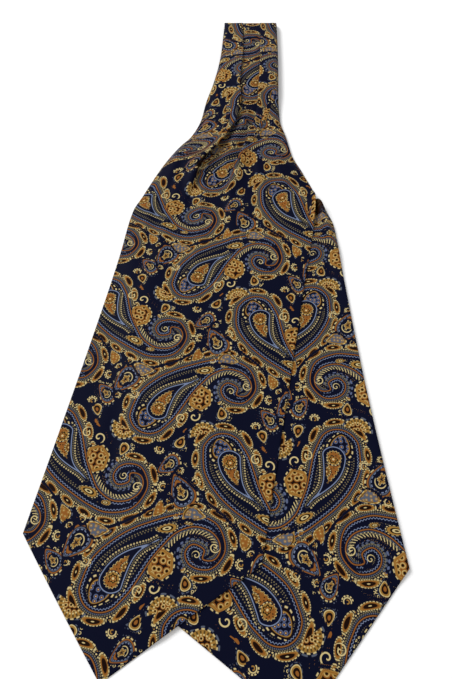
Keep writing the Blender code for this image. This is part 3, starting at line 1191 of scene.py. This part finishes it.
def chevron(left: float, right: float, tip: float, end: float, shares: Array) -> Array:
    """Distances along a blade on rows that open out from its pointed end to a straight row.

    The first row rises from the tip to left and right at the corners. A later row is that row and the
    straight one, mixed by the row's share of the way.

    Args:
        left: how far up the left corner is.
        right: how far up the right corner is.
        tip: the tip's share of the way across.
        end: where the straight row is.
        shares: shares of the way across.

    Returns:
        A grid of distances along.
    """
    side = np.where(shares < tip, left * (tip - shares) / tip, right * (shares - tip) / (1 - tip))
    return side[None, :] * (1 - POINT_ROWS[:, None]) + end * POINT_ROWS[:, None]


def inward(flat: Array, wide: Array, along: Array) -> Array:
    """Distance in from a blade's nearest edge.

    Args:
        flat: distances across from the left edge.
        wide: the width there.
        along: distances along the blade, from the row at its pointed end on.

    Returns:
        The least of the distances from the left edge, the right edge and the point's slanting edge.
    """
    return np.minimum(np.minimum(flat, wide - flat), POINT_SLOPE * (along - along[:1]))


def edge_profile(distance: Array, wall: float) -> Array:
    """Half the wall at a distance in from a folded edge: a quarter round that ends at a thin rim."""
    share = np.clip(distance / (0.9 * wall), 0.0, 1.0)
    return 0.5 * wall * np.maximum(np.sqrt(1.0 - (1.0 - share) ** 2), 0.12)


@dataclass(frozen=True)
class Ridge:
    """A soft fold in the cloth: where it starts and ends, half its width, and its height."""

    from_x: float
    from_y: float
    to_x: float
    to_y: float
    reach: float
    height: float

    def lift(self, x: Array, y: Array) -> Array:
        """Height over places: a cosine hump across, which widens along the fold and fades out to both ends.

        Args:
            x: the places' x.
            y: their y.

        Returns:
            The heights.
        """
        run, rise = self.to_x - self.from_x, self.to_y - self.from_y
        length = np.hypot(run, rise)
        share = ((x - self.from_x) * run + (y - self.from_y) * rise) / length ** 2
        beside = np.abs((x - self.from_x) * rise - (y - self.from_y) * run) / length
        reach = self.reach * (0.7 + 0.8 * np.clip(share, 0.0, 1.2))
        fade = smoothstep((share + 0.15) / 0.3) * smoothstep((1.1 - share) / 0.6)
        return self.height * fade * np.cos(0.5 * np.pi * np.clip(beside / reach, 0.0, 1.0)) ** 2


@dataclass
class FrontPiece:
    """The front length: pointed blade, flare, pleated neckband and the turn over its top."""

    wall: float = 1.1
    gap: float = 0.3
    under_wall: float = 1.5
    band_height: float = 4.8
    band_start: float = 172.5
    band_ramp: float = 38.0
    edge_rise: float = 4.6
    point_left: float = 71.0
    point_right: float = 81.0
    point_share: float = 0.473
    chevron_end: float = 200.0
    fold_y: float = 303.2
    fold_turn: float = 105.0
    step_width: float = 18.0
    step_margin: float = 6.5
    panel_cells: int = 33
    bend_cells: int = 6
    straight_cells: int = 6
    roll_reach: float = 6.0
    panel_hidden: float = -29.0
    pressed: float = 0.6
    loose_from: float = 22.0
    loose_rise: float = 0.6
    thin_reach: float = 8.0
    fold_bulge: float = 1.2
    fold_rows: int = 15
    settle_before: float = 30.0
    flat_width: float = 149.7
    straight_rows: int = 120
    flare_rows: int = 147
    band_rows: int = 78
    straight_end: int = 1
    flare_start: int = 2
    pleats_start: int = 3
    press_start: int = 7
    band_section: int = 8
    ridges: tuple[Ridge, ...] = (
        Ridge(-34.0, 92.0, -58.0, -40.0, 9.0, 1.3),
        Ridge(-12.0, 86.0, -20.0, -70.0, 8.0, 1.0),
        Ridge(8.0, 118.0, 14.0, 10.0, 7.0, 1.2),
        Ridge(33.0, 128.0, 44.0, 20.0, 7.0, 1.1),
        Ridge(52.0, 118.0, 66.0, 40.0, 6.0, 1.3),
        Ridge(-50.0, 86.0, -68.0, 8.0, 6.0, 0.9),
        Ridge(-30.0, 136.0, -44.0, 84.0, 5.0, 1.0),
        Ridge(10.0, -60.0, -4.0, -190.0, 14.0, 0.6),
        Ridge(-70.0, -90.0, -96.0, -200.0, 16.0, 0.7),
        Ridge(80.6, 79.0, 84.6, 34.0, 5.2, 6.0),
        Ridge(27.0, 178.0, 3.0, 112.0, 8.0, 2.8),
    )

    def __post_init__(self) -> None:
        """Lay out the sections."""
        y = self.fold_y
        self.length = Length((
            FrontSection(-135.4, -274.4, 14.4, -302.1, 0.26, 0.52, 0, 0, 1.0, 0),
            FrontSection(-78.6, 13.0, 67.9, -14.6, 0.26, 0.52, 0, 0, 1.0, 0),
            FrontSection(-70.7, 62.0, 79.7, 49.7, 0.26, 0.52, 0, 0, 1.0, 0.3),
            FrontSection(-64.5, 75.9, 81.9, 74.1, 0.245, 0.52, 15, 0, 1.0, 0.8),
            FrontSection(-49.0, 110.7, 73.5, 103.1, 0.262, 0.53, 105, 75, 2.0, 3.8),
            FrontSection(-36.6, 132.1, 65.4, 123.5, 0.335, 0.575, 172, 168, 4.0, 4.4),
            FrontSection(-24.5, 147.9, 61.0, 147.5, 0.385, 0.61, 180, 180, 6.0, 4.4),
            FrontSection(-16.6, 167.1, 56.4, 168.7, 0.456, 0.693, 180, 180, 9.0, 3.2),
            FrontSection(-12.0, 190.1, 56.0, 193.5, 0.477, 0.718, 180, 180, 12.0, 1.5),
            FrontSection(-5.0, 216.3, 56.8, 217.5, 0.40, 0.702, 180, 180, 12.0, 1.0),
            FrontSection(1.6, 256.3, 58.0, 256.3, 0.383, 0.69, 180, 180, 12.0, 0.8),
            FrontSection(5.2, y, 58.6, y, 0.354, 0.687, 180, 180, 12.0, 0.3)))

    def pleat(self, turn: Array, depth: Array) -> tuple[Array, Array]:
        """A pleat's section: a bend through turn, a straight run of depth, and the bend back.

        The second half is the first turned half round. The bend's length is always that of a half circle.

        Args:
            turn: degrees that the cloth turns under, one for each row.
            depth: length of the straight run.

        Returns:
            Offsets across and down, a row for each section.
        """
        radius_flat = 0.5 * (self.wall + self.gap)
        angle = np.maximum(np.radians(turn), 0.02)[:, None]
        radius = np.pi * radius_flat / angle
        sweep = angle * np.linspace(0.0, 1.0, self.bend_cells + 1)[None, :]
        straight = 0.5 * depth[:, None] * np.linspace(0.0, 1.0, self.straight_cells + 1)[None, 1:]
        across = np.hstack([radius * np.sin(sweep), radius * np.sin(angle) + straight * np.cos(angle)])
        fall = radius * (1 - np.cos(angle)) + straight * np.sin(angle)
        down = np.hstack([radius * (1 - np.cos(sweep)), fall])
        return (np.hstack([across, 2 * across[:, -1:] - across[:, -2::-1]]),
                np.hstack([down, 2 * down[:, -1:] - down[:, -2::-1]]))

    def panel_shares(self, width: Array) -> Array:
        """Places across side panels from their outer edge, close together at the edge.

        Args:
            width: the panels' widths, one for each row.

        Returns:
            Shares of the widths, a row for each panel.
        """
        edge = EDGE_COLUMNS[None, :] / width
        rest = edge[:, -1:] + (1 - edge[:, -1:]) * np.linspace(0, 1, self.panel_cells - 2)[None, 1:]
        return np.hstack([edge, rest])

    def pleated(self, along: Array) -> tuple[Array, Array, Array]:
        """Draw sections across the length.

        Args:
            along: the sections' distances along it.

        Returns:
            Distance from the left edge, height over what the cloth lies on, and the sections' widths.
        """
        width = self.length.width(along)
        depth = self.length.read("depth", along)
        lift = self.length.read("lift", along)[:, None]
        press = self.press(along)[:, None]
        sides, floors = [], []
        for name in ("left", "right"):
            turn = self.length.read(name + "_turn", along)
            place = self.length.read(name + "_pleat", along) * width
            place = place if name == "left" else width - place
            across, down = self.pleat(turn, depth)
            start = (place - np.maximum(across.max(axis=1), 0.0) * (turn > 90))[:, None]
            drop = down[:, -1:]
            panel = start * self.panel_shares(start)
            loose = self.loose_rise * np.maximum(start - self.loose_from, 0.0)
            rise = np.minimum(self.edge_rise + loose, start)
            height = drop * np.sin(0.5 * np.pi * np.minimum(panel / rise, 1.0))
            roll = lift * np.exp(-((start - panel) / self.roll_reach) ** 2)
            upper = np.clip((drop - down) / np.maximum(drop, 0.1), 0.0, 1.0)
            puff = lift * (1.0 - (1.0 - upper) ** 3)
            sides.append((panel, height + roll, start + across, drop - down * press + puff))
            floors.append(drop * (1.0 - press))
        left, right = sides
        right = [np.fliplr(part) for part in right]
        begin, end = left[2][:, -1:], width[:, None] - right[2][:, :1]
        share = np.linspace(0, 1, self.panel_cells + 1)[None, 1:-1]
        middle = begin + (end - begin) * share
        floor = floors[0] * (1 - share) + floors[1] * share
        across = np.hstack([left[0][:, :-1], left[2], middle, width[:, None] - right[2],
                            width[:, None] - right[0][:, 1:]])
        raised = np.hstack([left[1][:, :-1], left[3], floor, right[3], right[1][:, 1:]])
        return across, raised, width

    def press(self, along: Array) -> Array:
        """How much of their loose depth the pleats keep: less and less towards the fold of the band."""
        start, end = self.length.places[self.press_start], self.length.places[-1]
        return 1.0 - self.pressed * smoothstep((along - start) / (end - start))

    def rest(self, x: Array, y: Array, under: "UnderPiece") -> Array:
        """Height of the underside: on the surface, on the under blade or on the layers of the band.

        Args:
            x: the places' x.
            y: their y.
            under: the length that lies below.

        Returns:
            The heights.
        """
        on_under = smoothstep(1.0 + (under.left_distance(x, y) + self.step_margin) / self.step_width)
        layers = (self.band_height - self.under_wall) * smoothstep((y - self.band_start) / self.band_ramp)
        return (self.under_wall + self.gap) * on_under + layers

    def skin(self, under: "UnderPiece") -> Skin:
        """Lay out the whole middle surface.

        Args:
            under: the length that it lies on.

        Returns:
            The surface.
        """
        places = self.length.places
        straight, flare, band = (places[i] for i in (self.straight_end, self.flare_start, self.band_section))
        stretches = ((self.chevron_end, flare, self.straight_rows), (flare, band, self.flare_rows),
                     (band, places[-1], self.band_rows))
        level = np.concatenate([np.linspace(start, end, rows + 1)[1:] for start, end, rows in stretches])
        across, raised, width = self.pleated(level)
        count = across.shape[1]
        even = even_shares(count, self.flat_width)
        before = straight - self.settle_before
        settled = smoothstep((level - before) / (flare - before))[:, None]
        shares_level = even[None, :] * (1 - settled) + across / width[:, None] * settled
        point = chevron(self.point_left, self.point_right, self.point_share, self.chevron_end, even)
        along = np.vstack([point, np.repeat(level[:, None], count, axis=1)])
        shares = np.vstack([np.repeat(even[None, :], len(point), axis=0), shares_level])
        raised = np.vstack([np.zeros_like(point), raised])
        x, y = self.length.place(along, shares)
        folds = sum(ridge.lift(x, y) for ridge in self.ridges)
        z = self.rest(x, y, under) + raised + folds + 0.5 * self.wall
        wide = self.length.width(along)
        flat = shares * wide
        step = np.hypot(np.diff(flat, axis=1), np.diff(raised, axis=1))
        cloth = np.concatenate([np.zeros((len(along), 1)), np.cumsum(step, axis=1)], axis=1)
        middle = np.argmin(np.abs(even - self.point_share))
        cloth = cloth - cloth[:, middle:middle + 1] + self.hidden(along[:, :1], count)
        points, extra = self.turned_over(np.stack([x, y, z], axis=-1))
        cloth, border, tail = (np.vstack([part, np.repeat(part[-1:], len(extra), axis=0)])
                               for part in (cloth, inward(flat, wide, along), along))
        tail[len(along):] += extra[:, None]
        thin = 1.0 - (1.0 - self.press(tail)) * smoothstep(border / self.thin_reach)
        return Skin(points, cloth, tail, edge_profile(border, self.wall) * thin, self.inside_pleats(tail))

    def inside_pleats(self, along: Array) -> Array:
        """Find the part of each closed pleat that is turned under, where shade is painted.

        Args:
            along: the grid's distances along the length.

        Returns:
            1 on that part, and 0 elsewhere.
        """
        count = along.shape[1]
        column = np.arange(count)
        first = self.panel_cells + self.bend_cells - 2
        last = self.panel_cells + 2 * (self.bend_cells + self.straight_cells) - 2
        painted_shade = np.zeros(along.shape)
        for name, from_edge in (("left", column), ("right", count - 1 - column)):
            turn = self.length.read(name + "_turn", along)
            painted_shade += smoothstep((turn - 50.0) / 70.0) * ((from_edge >= first) & (from_edge <= last))
        return painted_shade

    def hidden(self, along: Array, count: int) -> Array:
        """Cloth that the left pleat takes in beyond its modelled depth: a shift of the left panel's print.

        Args:
            along: the rows' distances along the length.
            count: how many columns a row has.

        Returns:
            The shift for each point.
        """
        start, end = self.length.places[self.pleats_start], self.length.places[self.band_section]
        half = self.panel_cells + self.bend_cells + self.straight_cells
        return smoothstep((along - start) / (end - start)) * (self.panel_hidden * (np.arange(count) < half))

    def turned_over(self, points: Array) -> tuple[Array, Array]:
        """Carry the last row round the end of the layers below, about the middle of their height.

        Args:
            points: the surface up to the fold.

        Returns:
            The surface with its turned rows, and how far along the cloth each of these lies.
        """
        turns = np.radians(np.linspace(0.0, self.fold_turn, self.fold_rows + 1)[1:])
        centre = 0.5 * self.band_height
        last = points[-1]
        radius = last[:, 2] - centre
        reach = (1.0 + self.fold_bulge) * radius.max() - self.fold_bulge * radius
        x = np.repeat(last[None, :, 0], len(turns), axis=0)
        y = last[None, :, 1] + reach[None, :] * np.sin(turns)[:, None]
        z = centre + radius[None, :] * np.cos(turns)[:, None]
        return np.concatenate([points, np.stack([x, y, z], axis=-1)]), turns * float(np.median(radius))


@dataclass
class UnderPiece:
    """The under length: pointed blade and gathered shoulder, flat on the surface."""

    wall: float = 1.5
    gap: float = 0.3
    point_left: float = 71.0
    point_right: float = 77.0
    chevron_end: float = 200.0
    band_start: float = 172.5
    curl: float = 1.4
    curl_reach: float = 12.0
    # Where shade is painted into the shoulder's pocket: its middle, its half-widths and its soft edge.
    pocket_x: float = 84.4
    pocket_y: float = 63.5
    pocket_reach: tuple[float, float] = (5.6, 9.5)
    pocket_soft: float = 0.4
    columns: int = 151
    flat_width: float = 157.8
    straight_rows: int = 93
    shoulder_rows: int = 141
    shoulder_start: int = 2
    ridges: tuple[Ridge, ...] = (
        Ridge(84.0, 76.0, 95.5, 0.0, 5.2, 5.4),
        Ridge(78.0, 20.0, 84.0, -80.0, 9.0, 0.7),
    )

    def __post_init__(self) -> None:
        """Lay out the sections."""
        end = self.band_start - self.gap
        self.length = Length((
            UnderSection(-31.5, -315.5, 128.4, -302.1), UnderSection(-49.4, -115.5, 106.0, -101.5),
            UnderSection(-58.9, -9.5, 98.2, 4.9),
            UnderSection(-58.9, 30.5, 95.9, 42.5), UnderSection(-53.9, 57.5, 90.6, 60.4),
            UnderSection(-39.9, 95.5, 72.1, 87.5), UnderSection(-24.9, 130.5, 58.1, 123.5),
            UnderSection(-12.9, end, 52.1, end)))

    def left_distance(self, x: Array, y: Array) -> Array:
        """How far places are inside the blade's left edges.

        Args:
            x: the places' x.
            y: their y.

        Returns:
            The distances, negative outside the edges.
        """
        along = np.linspace(0.0, self.length.places[-1], 60)
        beside = x - np.interp(y, self.length.read("left_y", along), self.length.read("left_x", along))
        first, second = self.length.sections[:2]
        left, right = np.array([first.left_x, first.left_y]), np.array([first.right_x, first.right_y])
        tip = 0.5 * (left + right)
        upper = 0.5 * np.array([second.left_x + second.right_x, second.left_y + second.right_y])
        axis = (upper - tip) / np.hypot(*(upper - tip))
        half_width = 0.5 * np.hypot(*(right - left))
        corner = tip - half_width * np.array([axis[1], -axis[0]]) + self.point_left * axis
        edge = (tip - corner) / np.hypot(*(tip - corner))
        return np.minimum(beside, (y - corner[1]) * edge[0] - (x - corner[0]) * edge[1])

    def skin(self) -> Skin:
        """The whole middle surface."""
        even = even_shares(self.columns, self.flat_width)
        point = chevron(self.point_left, self.point_right, 0.5, self.chevron_end, even)
        shoulder = self.length.places[self.shoulder_start]
        stretches = ((self.chevron_end, shoulder, self.straight_rows),
                     (shoulder, self.length.places[-1], self.shoulder_rows))
        level = np.concatenate([np.linspace(start, end, rows + 1)[1:] for start, end, rows in stretches])
        along = np.vstack([point, np.repeat(level[:, None], len(even), axis=1)])
        stride = ClothShell.STRIDE
        along = along[:(len(along) - 1) // stride * stride + 1]
        shares = np.repeat(even[None, :], len(along), axis=0)
        x, y = self.length.place(along, shares)
        wide = self.length.width(along)
        flat = shares * wide
        curl = self.curl * (1.0 - smoothstep((wide - flat) / self.curl_reach))
        lift = curl + sum(ridge.lift(x, y) for ridge in self.ridges)
        points = np.stack([x, y, lift + 0.5 * self.wall], axis=-1)
        reach_x, reach_y = self.pocket_reach
        hollow = np.hypot((x - self.pocket_x) / reach_x, (y - self.pocket_y) / reach_y)
        half_wall = edge_profile(inward(flat, wide, along), self.wall)
        # Painted shade of the shoulder's pocket, full in its middle.
        painted_shade = smoothstep((1.0 - hollow) / self.pocket_soft)
        return Skin(points, flat - 0.5 * wide, along, half_wall, painted_shade)


@dataclass
class BandPiece:
    """The under length's half of the neckband: three pleated layers whose folded edges show at the sides."""

    layers: int = 3
    side_cells: int = 8
    flat_cells: int = 40
    bulge: float = 0.8
    inset: float = 1.6
    turn: float = 84.0
    rows: int = 110
    turned_rows: int = 8
    jump: float = 8.0

    def build(self, cloth: PrintedCloth, front: FrontPiece, node: str, slot: str) -> bpy.types.Object:
        """Sweep the band's rounded section along it, and turn its end under the front's fold.

        Args:
            cloth: the printed cloth to make it of.
            front: the length that lies over it.
            node: the solid that it stands for.
            slot: that solid's material slot.

        Returns:
            The object.
        """
        level = np.linspace(front.band_start, front.fold_y, self.rows)
        along = np.linspace(0.0, front.length.places[-1], 400)
        read = front.length.read
        left = np.interp(level, read("left_y", along), read("left_x", along)) + self.inset
        right = np.interp(level, read("right_y", along), read("right_x", along)) - self.inset
        height = front.under_wall + (front.band_height - front.under_wall) * smoothstep(
            (level - front.band_start) / front.band_ramp)
        steps = np.arange(self.layers * self.side_cells + 1)
        angle = np.pi * (steps % self.side_cells) / self.side_cells
        inset = self.bulge * (1.0 - np.sin(angle))
        rise = (steps // self.side_cells + 0.5 - 0.5 * np.cos(angle)) / self.layers
        flat = np.linspace(0.0, 1.0, self.flat_cells + 1)[1:-1]
        ones = np.ones(len(flat))
        from_right = np.concatenate([inset, inset[-1] * (1 - flat), 0 * inset, inset[0] * flat])
        share = np.concatenate([0 * inset, flat, 1 + 0 * inset, 1 - flat])
        from_left = np.concatenate([0 * inset, inset[-1] * flat, inset[::-1], inset[0] * (1 - flat)])
        up = np.concatenate([rise, ones, rise[::-1], 0 * ones])
        x = right[:, None] * (1 - share) + left[:, None] * share - from_right + from_left
        z = height[:, None] * up[None, :]
        y = np.repeat(level[:, None], x.shape[1], axis=1)
        turns = np.radians(np.linspace(0.0, self.turn, self.turned_rows + 1)[1:])[:, None]
        centre = 0.5 * front.band_height
        x = np.vstack([x, np.repeat(x[-1:], len(turns), axis=0)])
        y = np.vstack([y, y[-1:] + centre * np.sin(turns)])
        z = np.vstack([z, centre + (z[-1:] - centre) * np.cos(turns)])
        points = np.stack([x, y, z], axis=-1)
        step = np.linalg.norm(np.diff(points, axis=1), axis=2)
        across = np.concatenate([np.zeros((len(x), 1)), np.cumsum(step, axis=1)], axis=1)
        index = cloth.add_grid(points, across, y, self.jump)
        closed = np.concatenate([index, index[:, :1]], axis=1)
        faces = quads(closed)[:, ::-1].tolist() + [index[0].tolist(), index[-1, ::-1].tolist()]
        return cloth.build(faces, node, slot)


@dataclass
class Studio:
    """A plain pale surface, soft light from the upper left, and the camera."""

    floor_reach: float = 3.0
    floor_tint: Ink = (0.88, 0.88, 0.88)
    floor_roughness: float = 0.95
    key_at: Place = (-1.5, 1.1, 1.9)
    key_size: float = 1.2
    key_power: float = 58.0
    daylight: float = 0.72
    camera_at: Place = (7.3, -299.0, 410.2)
    camera_tilt: float = 30.0
    lens: float = 33.81
    sensor: float = 36.0

    def build(self) -> None:
        """Make the floor, the lights and the camera."""
        bpy.context.scene.view_settings.view_transform = "Standard"
        self.build_floor()
        self.build_lights()
        self.build_camera()

    def build_floor(self) -> None:
        """The surface that the cravat lies on."""
        mesh = bpy.data.meshes.new("floor")
        corners = np.array([[-1, -1, 0], [1, -1, 0], [1, 1, 0], [-1, 1, 0]]) * self.floor_reach
        mesh.from_pydata(corners.tolist(), [], [[0, 1, 2, 3]])
        floor = bpy.data.objects.new("floor", mesh)
        bpy.context.scene.collection.objects.link(floor)
        painter = Painter("pale surface", self.floor_tint)
        painter.connect(painter.shader, {
            "Base Color": painter.colour, "Roughness": self.floor_roughness, "Specular IOR Level": 0.0})
        mesh.materials.append(painter.material)

    def build_lights(self) -> None:
        """A square light that faces the cravat, and even light from all round."""
        lamp = bpy.data.lights.new("key", "AREA")
        lamp.energy = self.key_power
        lamp.size = self.key_size
        key = bpy.data.objects.new("key", lamp)
        key.location = self.key_at
        turn = np.array(self.key_at) / np.linalg.norm(self.key_at)
        key.rotation_euler = (np.arccos(turn[2]), 0.0, np.arctan2(turn[1], turn[0]) + 0.5 * np.pi)
        bpy.context.scene.collection.objects.link(key)
        world = bpy.data.worlds.new("studio")
        world.use_nodes = True
        background = world.node_tree.nodes["Background"]
        background.inputs["Color"].default_value = (1.0, 1.0, 1.0, 1.0)
        background.inputs["Strength"].default_value = self.daylight
        bpy.context.scene.world = world

    def build_camera(self) -> None:
        """The camera at the photograph's angle."""
        camera = bpy.data.cameras.new("camera")
        camera.lens = self.lens
        camera.sensor_width = self.sensor
        camera.clip_start = 0.01
        eye = bpy.data.objects.new("camera", camera)
        eye.location = [v * MM for v in self.camera_at]
        eye.rotation_euler = (np.radians(self.camera_tilt), 0.0, 0.0)
        bpy.context.scene.collection.objects.link(eye)
        bpy.context.scene.camera = eye


def main() -> None:
    """Build the cravat piece by piece."""
    logging.basicConfig(level=logging.INFO)
    Studio().build()
    design = PaisleyPrint()
    inks, finish_and_shade = Palette(), SilkFinishAndShade()
    under_piece, front_piece = UnderPiece(), FrontPiece()
    front_silk = PrintedSilk("front silk", design, inks, finish_and_shade)
    front = ClothShell("front_cloth", front_silk, PrintLay(drift=18.0)).shell(
        front_piece.skin(under_piece), "front_blade", "front_silk")
    under_silk = PrintedSilk("under silk", design, inks, finish_and_shade)
    under = ClothShell("under_cloth", under_silk, PrintLay(37.2, 200.8, 0.9645, turned=True)).shell(
        under_piece.skin(), "under_blade", "under_silk")
    band_silk = PrintedSilk("band silk", design, inks, finish_and_shade)
    band = BandPiece().build(PrintedCloth("band_cloth", band_silk, PrintLay(turned=True)), front_piece,
                             "band_under_layers", "band_silk")


if __name__ == "__main__":
    main()
